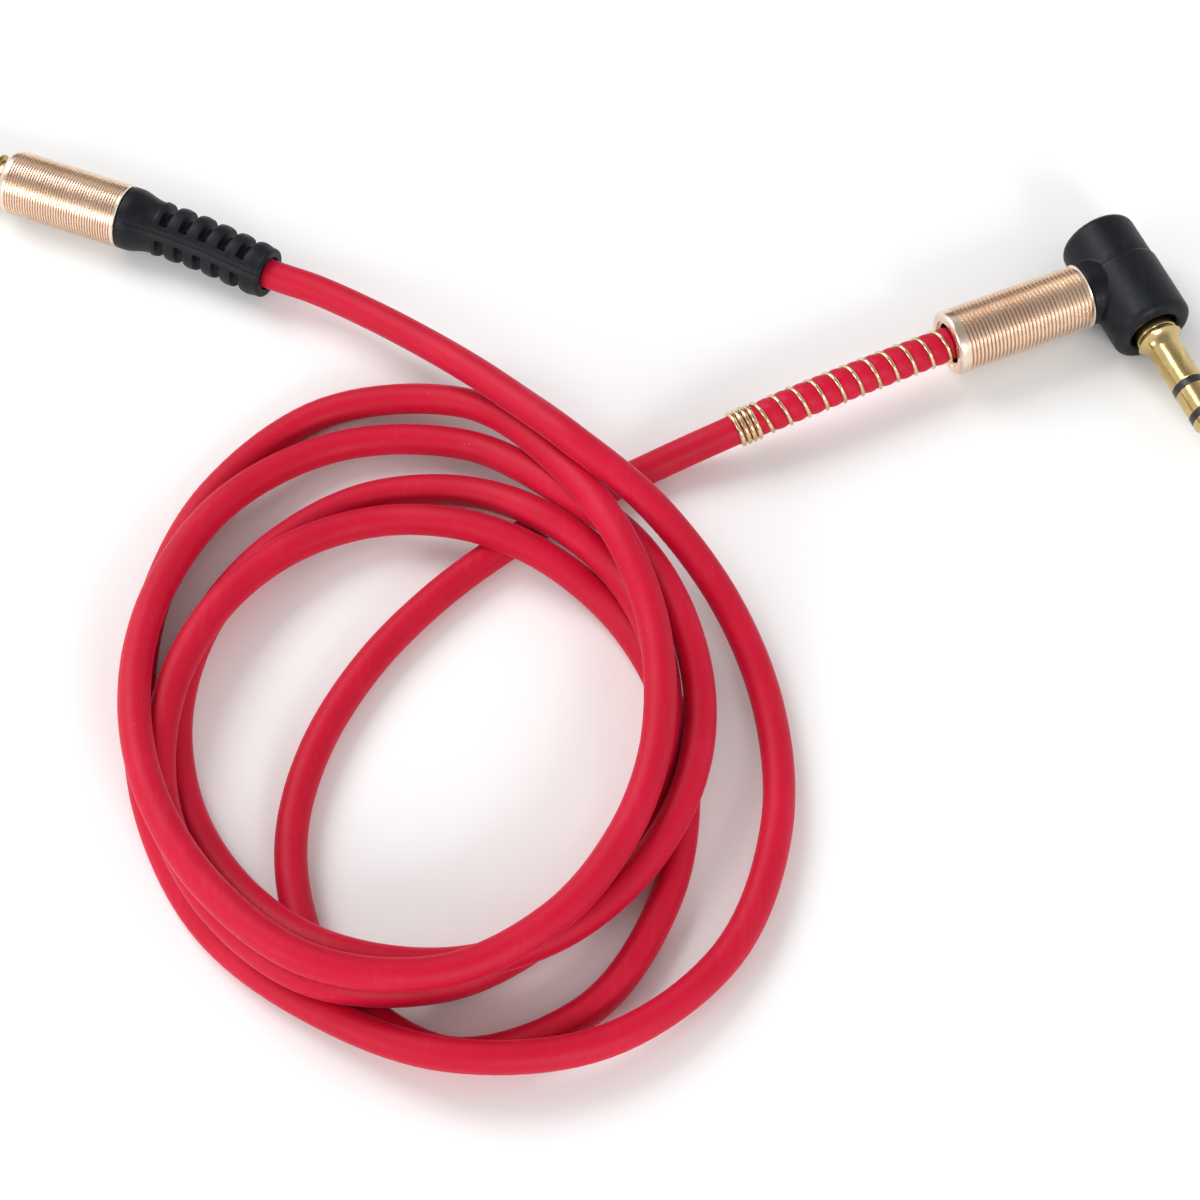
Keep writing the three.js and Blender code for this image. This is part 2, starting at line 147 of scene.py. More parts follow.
# %% Dust specks
dust_specks, given, spot = effect("dust specks", 900, 0.1)
cells = add_node(dust_specks, "TexVoronoi", {"Vector": spot, "Scale": given["Scale"]})
picked = add_node(dust_specks, "SeparateColor", {"Color": cells.outputs["Color"]})
chosen = add_node(
    dust_specks, "Math", {0: picked.outputs["Red"], 1: given["Cover"]}, operation="LESS_THAN"
)
size = add_node(dust_specks, "Math", {0: picked.outputs["Green"], 1: 0.2}, operation="MULTIPLY")
inside = add_node(
    dust_specks, "MapRange",
    {"Value": cells.outputs["Distance"], "From Min": size.outputs[0], "From Max": 0.0},
)
speck = add_node(
    dust_specks, "Math", {0: chosen.outputs[0], 1: inside.outputs["Result"]}, operation="MULTIPLY"
)
put_out(dust_specks, speck.outputs[0])


# %% [markdown]
# ## One recipe for every finish
#
# Each finish lays the same effects over each other. Its colour drifts between two near
# tones, rub marks and dust lie over that, and the grain gives the bump and a little of the
# roughness. A dictionary of numbers is then enough to describe a finish.

# %% Recipe
def make_finish(name, tones, drift, rough, grain, marks, dust, **uniform):
    """Makes a material.

    rough is a range, grain is (scale, depth in mm), and marks and dust are each
    (scale, cover, colour, strength).
    """
    material = bpy.data.materials.new(name)
    material.use_nodes = True
    tree = material.node_tree
    shader = tree.nodes["Principled BSDF"]
    for label, value in uniform.items():
        shader.inputs[label.replace("_", " ")].default_value = value

    def layer(group, values):
        made = add_node(tree, "Group", node_tree=group)
        for label, value in values.items():
            made.inputs[label].default_value = value
        return made.outputs["Amount"]

    tone = layer(tone_drift, {"Scale": drift})
    colour = add_node(
        tree, "Mix", {0: tone, 6: (*tones[0], 1), 7: (*tones[1], 1)}, data_type="RGBA"
    ).outputs[2]
    for group, (scale, cover, over, strength) in ((rub_marks, marks), (dust_specks, dust)):
        amount = layer(group, {"Scale": scale, "Cover": cover})
        share = add_node(tree, "Math", {0: amount, 1: strength}, operation="MULTIPLY").outputs[0]
        colour = add_node(tree, "Mix", {0: share, 6: colour, 7: (*over, 1)}, data_type="RGBA").outputs[2]
    tree.links.new(colour, shader.inputs["Base Color"])

    height = layer(fine_grain, {"Scale": grain[0]})
    rough_map = add_node(tree, "MapRange", {"Value": height, "From Min": 0.3, "From Max": 0.7})
    rough_map.inputs["To Min"].default_value = rough[0]
    rough_map.inputs["To Max"].default_value = rough[1]
    tree.links.new(rough_map.outputs["Result"], shader.inputs["Roughness"])
    bump = add_node(tree, "Bump", {"Height": height, "Strength": 0.6, "Distance": grain[1] * MM})
    tree.links.new(bump.outputs["Normal"], shader.inputs["Normal"])
    print("finish:", name)
    return material

# %% [markdown]
# ## Red elastomer of the cord
#
# The jacket is a soft, slightly dusty thermoplastic elastomer. It is matt, so its
# highlights are broad. Its skin is a little paler where it turns away from the eye, which
# is what the sheen of the Principled shader does. Fine pale rubs come from handling.

# %% Red elastomer
red_elastomer = make_finish(
    "red elastomer",
    tones=((0.47, 0.0010, 0.021), (0.54, 0.002, 0.030)), drift=90, rough=(0.46, 0.60), grain=(3500, 0.010),
    marks=(1800, 0.20, (0.75, 0.10, 0.16), 0.04), dust=(1900, 0.04, (0.80, 0.38, 0.42), 0.3),
    Sheen_Weight=0.3, Sheen_Roughness=0.3, Sheen_Tint=(1.0, 0.28, 0.5, 1), Specular_IOR_Level=0.22,
)

# %% [markdown]
# ## Metals
#
# The shells are aluminium, anodised to a pale rose gold. The jacks are plated with yellow
# gold, and the spring is a paler plated steel wire. All three are fully metallic, so their
# colour is in the reflection, and small changes of roughness keep them from looking drawn.

# %% Rose gold, gold plate and spring wire
rose_gold = make_finish(
    "rose gold anodised",
    tones=((0.80, 0.63, 0.50), (0.87, 0.72, 0.59)), drift=120, rough=(0.20, 0.30), grain=(5000, 0.003),
    marks=(1500, 0.22, (0.95, 0.82, 0.70), 0.3), dust=(1900, 0.02, (0.45, 0.33, 0.27), 0.2), Metallic=1.0,
    Coat_Weight=0.15, Coat_Roughness=0.15,
)
gold_plate = make_finish(
    "gold plate",
    tones=((0.50, 0.37, 0.15), (0.62, 0.48, 0.23)), drift=250, rough=(0.14, 0.24), grain=(4500, 0.003),
    marks=(1800, 0.22, (0.9, 0.72, 0.35), 0.4), dust=(1500, 0.05, (0.25, 0.17, 0.06), 0.4), Metallic=1.0,
)
spring_gold = make_finish(
    "pale spring wire",
    tones=((0.72, 0.55, 0.33), (0.85, 0.70, 0.46)), drift=500, rough=(0.14, 0.26), grain=(6000, 0.003),
    marks=(2000, 0.25, (0.4, 0.28, 0.12), 0.5), dust=(2000, 0.1, (0.2, 0.12, 0.05), 0.4), Metallic=1.0,
)

# %% [markdown]
# ## Black mouldings
#
# The boot and the elbow are moulded in black elastomer with a satin skin. Its blue tint is
# painted into its colour, a painted reflection of the room. Lint and fine scratches show on
# it at once; the scratches are painted in the same blue, so they are partly real wear and
# partly painted reflection. The rings of the jacks are a harder, smoother plastic.

# %% Black elastomer and ring plastic
# The blue in these tones and in the rub marks is a painted reflection of the room; the rub marks are also
# real scratches.
black_elastomer = make_finish(
    "black elastomer",
    tones=((0.0035, 0.004, 0.0055), (0.006, 0.0075, 0.012)), drift=160, rough=(0.36, 0.52),
    grain=(3800, 0.012),
    marks=(1600, 0.2, (0.03, 0.035, 0.06), 0.15), dust=(1400, 0.07, (0.22, 0.23, 0.27), 0.5),
    Specular_IOR_Level=0.2,
)
ring_plastic = make_finish(
    "black ring plastic",
    tones=((0.010, 0.010, 0.012), (0.015, 0.015, 0.017)), drift=400, rough=(0.25, 0.4), grain=(5000, 0.004),
    marks=(1600, 0.2, (0.07, 0.07, 0.07), 0.3), dust=(1500, 0.05, (0.2, 0.2, 0.2), 0.3),
)

# %% [markdown]
# ## The cord's route
#
# The route of the cord is a list of points on its centreline. Inside the straight plug's
# boot it bends gently off the plug's axis, it climbs over the coil, goes round it four and
# a half times, and cuts across its middle to the right-angle plug. The loose turns are
# written as a reach from the coil's centre and a height at each clock position, which a
# loop turns into points. A smooth curve then runs through all of them.

# %% Places of the two plugs
STRAIGHT_SEAT = Vector((-55.27, 13.78, 3.35)) * MM
STRAIGHT_HEADING = math.radians(-20.9)
STRAIGHT_SHELL = 13.55 * MM
BOOT_LENGTH = 16.95 * MM
BOOT_BEND = 1.35 * MM
CORNER = Vector((60.0, 0.1, 4.2)) * MM
ANGLED_HEADING = math.radians(23.0)
SHELL_NEAR = 4.8 * MM
ANGLED_SHELL = 15.2 * MM
BARREL_SEAT = 6.9 * MM
CORD_D = 3.1 * MM


def along(angle):
    """The level direction that stands at an angle from +X."""
    return Vector((math.cos(angle), math.sin(angle), 0))


def straight_axis(distance):
    """A point on the straight plug's axis, at a distance from its seat."""
    return STRAIGHT_SEAT + along(STRAIGHT_HEADING) * distance


def boot_axis(distance):
    """A point on the boot's bent centreline."""
    pull = BOOT_BEND * ((distance - STRAIGHT_SHELL) / BOOT_LENGTH) ** 2
    return straight_axis(distance) + along(STRAIGHT_HEADING - math.pi / 2) * pull


def angled_axis(distance):
    """A point on the right-angle plug's shell axis, at a distance from its corner."""
    return CORNER - along(ANGLED_HEADING) * distance


# %% Points of the route
COIL_CENTRE = Vector((-6.9, -48.4, 0)) * MM
COIL_START = 67.5
CLOCK_STEP = 22.5
COIL_TURNS = [
    (27.4, 10.8), (26.45, 8.5), (27.8, 3.8), (29.6, 1.6), (32.3, 1.6), (35.4, 2.2), (36.6, 3.3), (35.5, 4.4),
    (32.6, 2.6), (31.35, 1.6), (30.3, 1.6), (30.3, 1.6), (32.1, 1.6), (34.9, 1.6), (36.95, 1.6), (34.1, 3.4),
    (25.9, 7.9), (21.6, 9.1), (19.7, 8.1), (19.1, 7.6), (19.9, 7.0), (21.9, 6.9), (25.3, 7.3), (28.9, 7.7),
    (30.7, 8.4), (30.0, 7.6), (29.75, 7.4), (30.05, 6.4), (31.15, 4.6), (32.3, 3.4), (32.3, 2.1), (29.8, 2.4),
    (24.8, 5.2), (23.5, 5.8), (22.7, 6.0), (22.9, 4.6), (23.5, 4.6), (24.4, 4.2), (25.8, 4.3), (27.2, 5.1),
    (27.9, 5.3), (27.1, 2.8), (26.8, 1.6), (26.6, 1.6), (26.4, 1.6), (26.1, 1.6), (25.9, 1.6), (24.3, 2.5),
    (21.8, 4.2), (20.8, 3.7), (19.8, 4.5), (19.7, 4.5), (20.4, 3.5), (21.9, 2.3), (24.2, 1.6), (27.8, 2.0),
    (31.2, 5.3), (30.3, 4.5), (29.0, 4.4), (27.1, 4.6), (25.3, 4.4), (23.8, 3.6), (22.3, 2.7), (19.7, 3.7),
    (18.3, 3.5), (18.4, 1.7), (18.8, 1.6), (20.3, 1.6), (23.1, 1.6), (27.5, 1.6), (32.6, 1.6), (34.3, 1.6),
    (29.0, 1.6),
]
LEAD_IN = [(-22.5, -0.5, 3.6), (-16.6, -4.2, 4.4), (-11.1, -8.4, 5.6), (-6.0, -12.9, 7.1), (-1.3, -17.7, 8.8)]
LEAD_OUT = [
    (-21.0, -68.9, 1.6), (-22.0, -61.0, 1.6), (-20.2, -52.2, 1.6), (-15.7, -43.4, 1.6), (-9.3, -35.7, 1.6),
    (-1.7, -29.2, 1.6), (5.8, -24.2, 1.6), (12.8, -20.4, 1.9), (19.2, -17.8, 3.2), (26.4, -14.7, 4.1),
    (33.7, -11.3, 4.2),
]
CORD_START = 9.15 * MM
CORD_END = 3.7 * MM


def coil_points():
    """The loose turns, one point for each clock position."""
    points = []
    for index, (reach, height) in enumerate(COIL_TURNS):
        clock = math.radians(COIL_START - CLOCK_STEP * index)
        points.append(COIL_CENTRE + along(clock) * reach * MM + Vector((0, 0, height * MM)))
    return points


boot_end = STRAIGHT_SHELL + BOOT_LENGTH
shell_mouth = SHELL_NEAR + ANGLED_SHELL
route = [
    straight_axis(CORD_START),
    straight_axis(STRAIGHT_SHELL),
    boot_axis((STRAIGHT_SHELL + boot_end) / 2),
    boot_axis(boot_end),
    *[Vector(point) * MM for point in LEAD_IN],
    *coil_points(),
    *[Vector(point) * MM for point in LEAD_OUT],
    angled_axis(shell_mouth - 2 * MM),
    angled_axis(shell_mouth - 9 * MM),
    angled_axis(CORD_END),
]
print("points on the cord's route:", len(route))


# %% A smooth curve through the route
def smooth_through(points, steps):
    """A centripetal Catmull-Rom curve: it passes through every point, and may dip a little between them."""
    ends = [2 * points[0] - points[1], *points, 2 * points[-1] - points[-2]]
    line = []
    for before, start, stop, after in zip(ends, ends[1:], ends[2:], ends[3:]):
        first = (start - before).length ** 0.5
        middle = (stop - start).length ** 0.5
        last = (after - stop).length ** 0.5
        slope_in = (start - before) / first - (stop - before) / (first + middle) + (stop - start) / middle
        slope_out = (stop - start) / middle - (after - start) / (middle + last) + (after - stop) / last
        slope_in *= middle
        slope_out *= middle
        for step in range(steps):
            t = step / steps
            line.append(
                start * (2 * t**3 - 3 * t**2 + 1)
                + slope_in * (t**3 - 2 * t**2 + t)
                + stop * (3 * t**2 - 2 * t**3)
                + slope_out * (t**3 - t**2)
            )
    return line + [points[-1]]


cord_line = smooth_through(route, 10)
reached = [0.0]
for near, far in zip(cord_line, cord_line[1:]):
    reached.append(reached[-1] + (far - near).length)
CORD_LENGTH = reached[-1]
print("cord length in metres:", round(CORD_LENGTH, 4))


# %% [markdown]
# ## The cord
#
# The cord is a round jacket of soft red elastomer. In Blender it is a curve with a round
# bevel, because a curve keeps its centreline and its thickness exactly, and the line can
# be checked against the cord's real length.

# %% Belonging to the lead
def stands_for(piece, material, slot, *nodes):
    """Gives a piece its finish. It rides on the lead's one body and may stand for plain nodes."""
    piece.data.materials.append(material)
    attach(piece, "root")
    if nodes:
        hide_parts(*nodes)


# %% Cord
def round_curve(name, points, diameter, sides):
    """A curve object with one open spline and a round section."""
    data = bpy.data.curves.new(name, "CURVE")
    data.dimensions = "3D"
    data.bevel_depth = diameter / 2
    data.bevel_resolution = sides // 4
    data.use_fill_caps = True
    spline = data.splines.new("POLY")
    spline.points.add(len(points) - 1)
    for knot, point in zip(spline.points, points):
        knot.co = (*point, 1)
    spline.use_smooth = True
    piece = bpy.data.objects.new(name, data)
    bpy.context.scene.collection.objects.link(piece)
    return piece


cord = round_curve("cord", cord_line, CORD_D, 24)
CORD_NODES = ("cord_lead_in", "cord_coil", "cord_lower_loop", "cord_cross_strand", "cord_lead_out")
stands_for(cord, red_elastomer, "cord_jacket", *CORD_NODES)

# %% [markdown]
# ## Tools of the bench
#
# Small pieces are easiest to model in millimetres, lying along +X from the origin, and to
# put in their place at the end. A few helpers do the routine work: one turns an outline as
# on a lathe, one places a piece and applies its place to the mesh, one copies it, one
# applies a modifier, and one bends a straight piece along the cord.

# %% Lathe
def deselect():
    """Deselects everything, because an operator acts on all that is selected."""
    bpy.ops.object.select_all(action="DESELECT")


def turn(name, outline, steps=96, smooth=35):
    """Spins an outline of (x, radius) pairs about the X axis.

    An outline that ends where it began gives a piece with a hole along its axis.
    """
    deselect()
    bpy.ops.mesh.primitive_plane_add(size=1)
    piece = bpy.context.object
    piece.name = name
    bpy.ops.object.mode_set(mode="EDIT")
    bpy.ops.mesh.merge(type="CENTER")
    bpy.ops.transform.translate(value=(outline[0][0], 0, outline[0][1]))
    for (x, radius), (next_x, next_radius) in zip(outline, outline[1:]):
        step = (next_x - x, 0, next_radius - radius)
        bpy.ops.mesh.extrude_region_move(TRANSFORM_OT_translate={"value": step})
    bpy.ops.mesh.select_all(action="SELECT")
    bpy.ops.mesh.remove_doubles(threshold=1e-4)
    bpy.ops.mesh.spin(steps=steps, angle=2 * math.pi, center=(0, 0, 0), axis=(1, 0, 0))
    bpy.ops.mesh.select_all(action="SELECT")
    bpy.ops.mesh.remove_doubles(threshold=1e-4)
    bpy.ops.mesh.normals_make_consistent(inside=False)
    bpy.ops.object.mode_set(mode="OBJECT")
    bpy.ops.object.shade_smooth_by_angle(angle=math.radians(smooth))
    return piece


def arc(centre, radius, start, stop, steps):
    """Points of a round corner in an outline, from one angle to another in degrees."""
    angles = [math.radians(start + (stop - start) * i / steps) for i in range(steps + 1)]
    return [(centre[0] + radius * math.cos(a), centre[1] + radius * math.sin(a)) for a in angles]


# %% Placing, applying and copying
def only(piece):
    """Selects one piece and makes it the active one."""
    deselect()
    piece.select_set(True)
    bpy.context.view_layer.objects.active = piece


def place(piece, seat):
    """Takes a piece from the bench to its place in metres, and leaves its object at the origin."""
    only(piece)
    piece.matrix_world = seat @ Matrix.Scale(MM, 4) @ piece.matrix_world
    bpy.ops.object.transform_apply(location=True, rotation=True, scale=True)
    return piece


def copied(piece, name):
    """A copy with its own mesh."""
    only(piece)
    bpy.ops.object.duplicate()
    twin = bpy.context.object
    twin.name = name
    return twin


def apply_modifier(piece, kind, **settings):
    """Adds a modifier with its settings and applies it to the mesh at once."""
    only(piece)
    modifier = piece.modifiers.new(kind.lower(), kind)
    for key, value in settings.items():
        setattr(modifier, key, value)
    bpy.ops.object.modifier_apply(modifier=modifier.name)


# %% Bending along the cord
UP = Vector((0, 0, 1))


def on_cord(distance):
    """The point and the direction of the cord at a distance from its start."""
    index = max(1, min(len(cord_line) - 1, sum(1 for far in reached if far <= distance)))
    start, stop = cord_line[index - 1], cord_line[index]
    share = (distance - reached[index - 1]) / (reached[index] - reached[index - 1])
    before = cord_line[max(0, index - 2)]
    after = cord_line[min(len(cord_line) - 1, index + 1)]
    ahead = (stop - before).normalized().lerp((after - start).normalized(), share).normalized()
    return start.lerp(stop, share), ahead


def bend_to_cord(piece, start):
    """Bends a piece that lies along +X in millimetres so that it follows the cord in metres."""
    for vertex in piece.data.vertices:
        x, y, z = vertex.co
        point, ahead = on_cord(start + x * MM)
        side = UP.cross(ahead).normalized()
        lift = ahead.cross(side)
        vertex.co = point + side * y * MM + lift * z * MM
    piece.data.update()
    return piece


# %% Seats of the plugs
straight_seat = Matrix.Translation(STRAIGHT_SEAT) @ Matrix.Rotation(STRAIGHT_HEADING + math.pi, 4, "Z")
corner_seat = Matrix.Translation(CORNER) @ Matrix.Rotation(ANGLED_HEADING, 4, "Z")
angled_seat = (
    corner_seat @ Matrix.Translation((0, -BARREL_SEAT, 0)) @ Matrix.Rotation(-math.pi / 2, 4, "Z")
)

# %% [markdown]
# ## The jacks
#
# Both plugs carry the same standard 3.5 mm jack: a pointed tip, a ring and a long sleeve
# of gold plated brass, kept apart by two black rings. All of them are turned parts, nested
# like tubes. Each is turned once from its outline, then copied to the second plug.

# %% Outlines of the jack
JACK_R = 1.75
ROD_R = 0.45
TUBE_STEP = 0.35
SLIP = 0.1
FLANGE_FACE = 1.15
SLEEVE_END, RING_FROM, RING_TO, TIP_FROM, NOSE = 6.95, 7.75, 10.45, 11.25, 15.15
EDGE = 0.06


def headed_tube(inner, tail_x, head_x, nose_x, edge):
    """A thin tube with a head of the jack's full diameter at its nose end."""
    outer = inner + TUBE_STEP - SLIP
    return [
        (tail_x, inner), (tail_x, outer), (head_x, outer), (head_x, JACK_R - edge), (head_x + edge, JACK_R),
        (nose_x - edge, JACK_R), (nose_x, JACK_R - edge), (nose_x, inner), (tail_x, inner),
    ]


tip_outline = [
    (-5.6, 0), (-5.6, ROD_R), (TIP_FROM, ROD_R), (TIP_FROM, JACK_R - EDGE), (TIP_FROM + EDGE, JACK_R),
    (TIP_FROM + 0.5, JACK_R), *arc((TIP_FROM + 1.35, 2.05), 0.8, 205, 315, 8),
    *arc((TIP_FROM + 2.3, 1.02), 0.62, 125, 55, 8), (TIP_FROM + 3.55, 0.62),
    *arc((NOSE - 0.42, 0.2), 0.42, 60, 0, 5), (NOSE, 0),
]
inner_radius = ROD_R + SLIP
sleeve_bore = ROD_R + SLIP + 3 * TUBE_STEP
FLANGE_R = 2.15
sleeve_outline = [
    (-2.2, sleeve_bore), (-2.2, 1.9), (-0.5, 1.9), (-0.5, FLANGE_R),
    *arc((0.45, FLANGE_R - 0.1), 0.1, 90, 0, 4), (0.6, FLANGE_R - 0.2), (0.7, FLANGE_R - 0.2),
    *arc((0.85, FLANGE_R - 0.12), 0.1, 180, 90, 4),
    *arc((FLANGE_FACE - 0.1, FLANGE_R - 0.12), 0.1, 90, 0, 4), (FLANGE_FACE + 0.02, FLANGE_R - 0.22),
    *arc((FLANGE_FACE + 1.3, 3.4), 1.65, 218, 270, 10), (SLEEVE_END - EDGE, JACK_R),
    (SLEEVE_END, JACK_R - EDGE), (SLEEVE_END, sleeve_bore), (-2.2, sleeve_bore),
]
JACK_PIECES = {
    "tip_contact": (tip_outline, gold_plate, "gold_contact"),
    "tip_insulator": (
        headed_tube(inner_radius, -3.9, RING_TO, TIP_FROM, EDGE),
        ring_plastic,
        "insulator_ring",
    ),
    "ring_contact": (
        headed_tube(inner_radius + TUBE_STEP, -3.4, RING_FROM, RING_TO, EDGE),
        gold_plate,
        "gold_contact",
    ),
    "ring_insulator": (
        headed_tube(inner_radius + 2 * TUBE_STEP, -2.8, SLEEVE_END, RING_FROM, EDGE),
        ring_plastic,
        "insulator_ring",
    ),
    "ground_sleeve": (sleeve_outline, gold_plate, "gold_contact"),
}

# %% Turn the jacks
for kind, (outline, material, slot) in JACK_PIECES.items():
    jack_piece = turn(f"straight_jack_{kind}", outline, steps=72)
    twin = copied(jack_piece, f"angled_jack_{kind}")
    for piece, seat, plug in ((jack_piece, straight_seat, "straight"), (twin, angled_seat, "angled")):
        place(piece, seat)
        stands_for(piece, material, slot, f"{plug}_{kind}")
print("jack pieces:", 2 * len(JACK_PIECES))

# %% [markdown]
# ## The ribbed shells
#
# Each plug has a rose gold metal sleeve that a lathe has cut with fine grip ribs. The
# ribs are real grooves in the outline, because their crests catch the light one by one and
# notch the sleeve's edge. One loop writes the outline's ribs, and the ends are plain.

# %% Shells
SHELL_R = 3.35
SHELL_BORE = 2.75
STRAIGHT_RIB = 0.3
ANGLED_RIB = 0.42
RIB_DEPTH = 0.62
CREST = 0.42
GROOVE_FROM = 0.62
GROOVE_TO = 0.80


def ribs(start, stop, rough_pitch):
    """Outline points of fine grooves with flat crests, from one x to another."""
    count = round(abs(stop - start) / rough_pitch)
    pitch = (stop - start) / count
    valley_r = SHELL_R - RIB_DEPTH * pitch
    points = []
    for index in range(count):
        x = start + pitch * index
        points += [
            (x, SHELL_R), (x + CREST * pitch, SHELL_R), (x + GROOVE_FROM * pitch, valley_r),
            (x + GROOVE_TO * pitch, valley_r),
        ]
    return points


straight_back = -STRAIGHT_SHELL / MM
straight_shell = turn(
    "straight_ribbed_shell",
    [
        (straight_back, SHELL_BORE), (straight_back, SHELL_R - 0.1), (straight_back + 0.1, SHELL_R),
        *ribs(straight_back + 0.25, -1.1, STRAIGHT_RIB), (-1.1, SHELL_R),
        *arc((-0.9, SHELL_R - 0.9), 0.9, 90, 25, 7), (0, SHELL_R - 0.9),
        (0, 2.27), (-0.9, 2.27), (-0.9, SHELL_BORE), (straight_back, SHELL_BORE),
    ],
    steps=128,
)
place(straight_shell, straight_seat)
stands_for(straight_shell, rose_gold, "rose_gold_shell", "straight_shell")

shell_far = -shell_mouth / MM
shell_near = -SHELL_NEAR / MM
angled_shell = turn(
    "angled_ribbed_shell",
    [
        (shell_far + 0.3, 2.12), (shell_far + 0.3, 2.34), (shell_far, 2.42), (shell_far, 2.75),
        *arc((shell_far + 0.45, SHELL_R - 0.45), 0.45, 170, 95, 5),
        (shell_far + 0.9, SHELL_R), *ribs(shell_far + 1.0, shell_near - 0.25, ANGLED_RIB),
        (shell_near - 0.1, SHELL_R),
        (shell_near, SHELL_R - 0.1), (shell_near, SHELL_BORE), (shell_far + 0.7, SHELL_BORE),
        (shell_far + 0.7, 2.12), (shell_far + 0.3, 2.12),
    ],
    steps=128,
)
place(angled_shell, corner_seat)
stands_for(angled_shell, rose_gold, "rose_gold_shell", "angled_shell")

# %% [markdown]
# ## The slotted boot
#
# The boot is moulded in soft black elastomer round the cord. A bell covers the shell's
# end, and behind it five slots on each side turn the tail into ribs that can close up as
# the cord bends. The tail is turned, the slots are cut with boxes, and a fine remesh with
# a little smoothing rounds every edge as a mould does.

# %% Turn the boot and cut its slots
SPIGOT = 3.0
BOOT_BORE = 1.75
SLOT_FIRST = 5.15
SLOT_PITCH = 2.28
SLOT_WIDTH = 1.0
SPINE_HALF = 0.8
SPINE_TURN = math.radians(45)
CUTTER_REACH = 4.0
CUTTER_HEIGHT = 8.0
boot_tail = BOOT_LENGTH / MM

boot = turn(
    "slotted_boot",
    [
        (-SPIGOT, BOOT_BORE), (-SPIGOT, 2.7), (0.12, 2.7), (0.12, 3.2), (0.25, 3.3), (1.0, 3.3), (1.4, 3.25),
        (1.9, 3.12), (2.4, 2.96), (2.9, 2.84), (3.4, 2.77), (4.0, 2.73), (8.0, 2.7), (12.0, 2.66),
        (boot_tail - 0.25, 2.63), (boot_tail - 0.05, 2.55), (boot_tail, 2.4), (boot_tail, BOOT_BORE),
        (-SPIGOT, BOOT_BORE),
    ],
    steps=72,
)
for row in (-1, 1):
    for index in range(5):
        deselect()
        middle = row * (SPINE_HALF + CUTTER_REACH / 2)
        bpy.ops.mesh.primitive_cube_add(size=1, location=(SLOT_FIRST + SLOT_PITCH * index, middle, 0))
        cutter = bpy.context.object
        cutter.scale = (SLOT_WIDTH, CUTTER_REACH, CUTTER_HEIGHT)
        bpy.ops.object.transform_apply(location=False, rotation=False, scale=True)
        apply_modifier(boot, "BOOLEAN", operation="DIFFERENCE", object=cutter, solver="EXACT")
        bpy.data.objects.remove(cutter, do_unlink=True)
liner_end = boot_tail - 1
liner = turn("liner", [(3, 1.7), (3, 1.88), (liner_end, 1.88), (liner_end, 1.7), (3, 1.7)], steps=72)
apply_modifier(boot, "BOOLEAN", operation="UNION", object=liner, solver="EXACT")
bpy.data.objects.remove(liner, do_unlink=True)
print("boot faces after cutting:", len(boot.data.polygons))

# %% Round the boot's edges and bend it to the cord
BOOT_VOXEL = 0.072
apply_modifier(boot, "REMESH", mode="VOXEL", voxel_size=BOOT_VOXEL, use_smooth_shade=True)
apply_modifier(boot, "SMOOTH", factor=0.5, iterations=3)
apply_modifier(boot, "DECIMATE", ratio=0.5)
RIB_SWELL = 0.16
SEAM_DEPTH = 0.09
SEAM_HALF = 0.09
SKIN_FROM = 2.1
for vertex in boot.data.vertices:
    x, y, z = vertex.co
    reach = math.hypot(y, z)
    across = abs(y) / reach
    between_slots = 0.5 - 0.5 * math.cos(2 * math.pi * (x - SLOT_FIRST) / SLOT_PITCH)
    in_tail = SLOT_FIRST - SLOT_PITCH / 2 < x < boot_tail - 0.3 and reach > SKIN_FROM
    swell = RIB_SWELL * between_slots * across**2 if in_tail else 0
    on_seam = x > 1.0 and reach > SKIN_FROM
    seam = SEAM_DEPTH * math.exp(-((y / SEAM_HALF) ** 2)) if on_seam else 0
    grown = 1 + (swell - seam) / reach
    y, z = y * grown, z * grown
    turned_y = y * math.cos(SPINE_TURN) - z * math.sin(SPINE_TURN)
    turned_z = y * math.sin(SPINE_TURN) + z * math.cos(SPINE_TURN)
    vertex.co = (x, turned_y, turned_z)
bend_to_cord(boot, STRAIGHT_SHELL - CORD_START)
stands_for(boot, black_elastomer, "black_rubber", "straight_boot")
print("boot faces:", len(boot.data.polygons))

# %% [markdown]
# ## The elbow
#
# The right-angle plug's body is one moulding of the same black elastomer: a barrel round
# the jack and a short neck into the shell. Two turned pieces are joined by a boolean. A
# remesh and smoothing then melt the joint into the rounded fillet that a mould leaves.

# %% Elbow
BARREL_R = 4.2
HEAD_R = 4.0
BARREL = 13.1
HEAD = 5.4
ELBOW_VOXEL = 0.11
elbow = turn(
    "moulded_elbow",
    [
        (-BARREL, 0), (-BARREL, HEAD_R - 1.4), *arc((-BARREL + 1.1, HEAD_R - 1.1), 1.1, 165, 95, 7),
        (-BARREL + HEAD - 0.25, HEAD_R + 0.04), (-BARREL + HEAD - 0.1, HEAD_R - 0.06),
        (-BARREL + HEAD + 0.1, BARREL_R - 0.02), (-3.0, BARREL_R),
        *arc((-0.85, BARREL_R - 0.85), 0.85, 90, 5, 7),
        (0, BARREL_R - 0.95), (0, 2.75), (-0.35, 2.5), (-1.2, 2.45), (-1.3, 2.7),
        (-9.6, 2.7), (-9.6, 0),
    ],
    steps=96,
)
place(elbow, Matrix.Scale(1 / MM, 4) @ corner_seat.inverted() @ angled_seat)
neck = turn(
    "neck",
    [
        (shell_near - 3.1, 0), (shell_near - 3.1, 2.6), (shell_near + 0.05, 2.6), (shell_near + 0.05, 3.05),
        (shell_near + 0.3, 3.17), (-3.4, 3.3), (-1.0, 3.4), (-1.0, 0),
    ],
    steps=96,
)
apply_modifier(elbow, "BOOLEAN", operation="UNION", object=neck, solver="EXACT")
bpy.data.objects.remove(neck, do_unlink=True)
bore = turn("bore", [(shell_near - 5, 0), (shell_near - 5, 1.75), (-1, 1.75), (-1, 0)], steps=48)
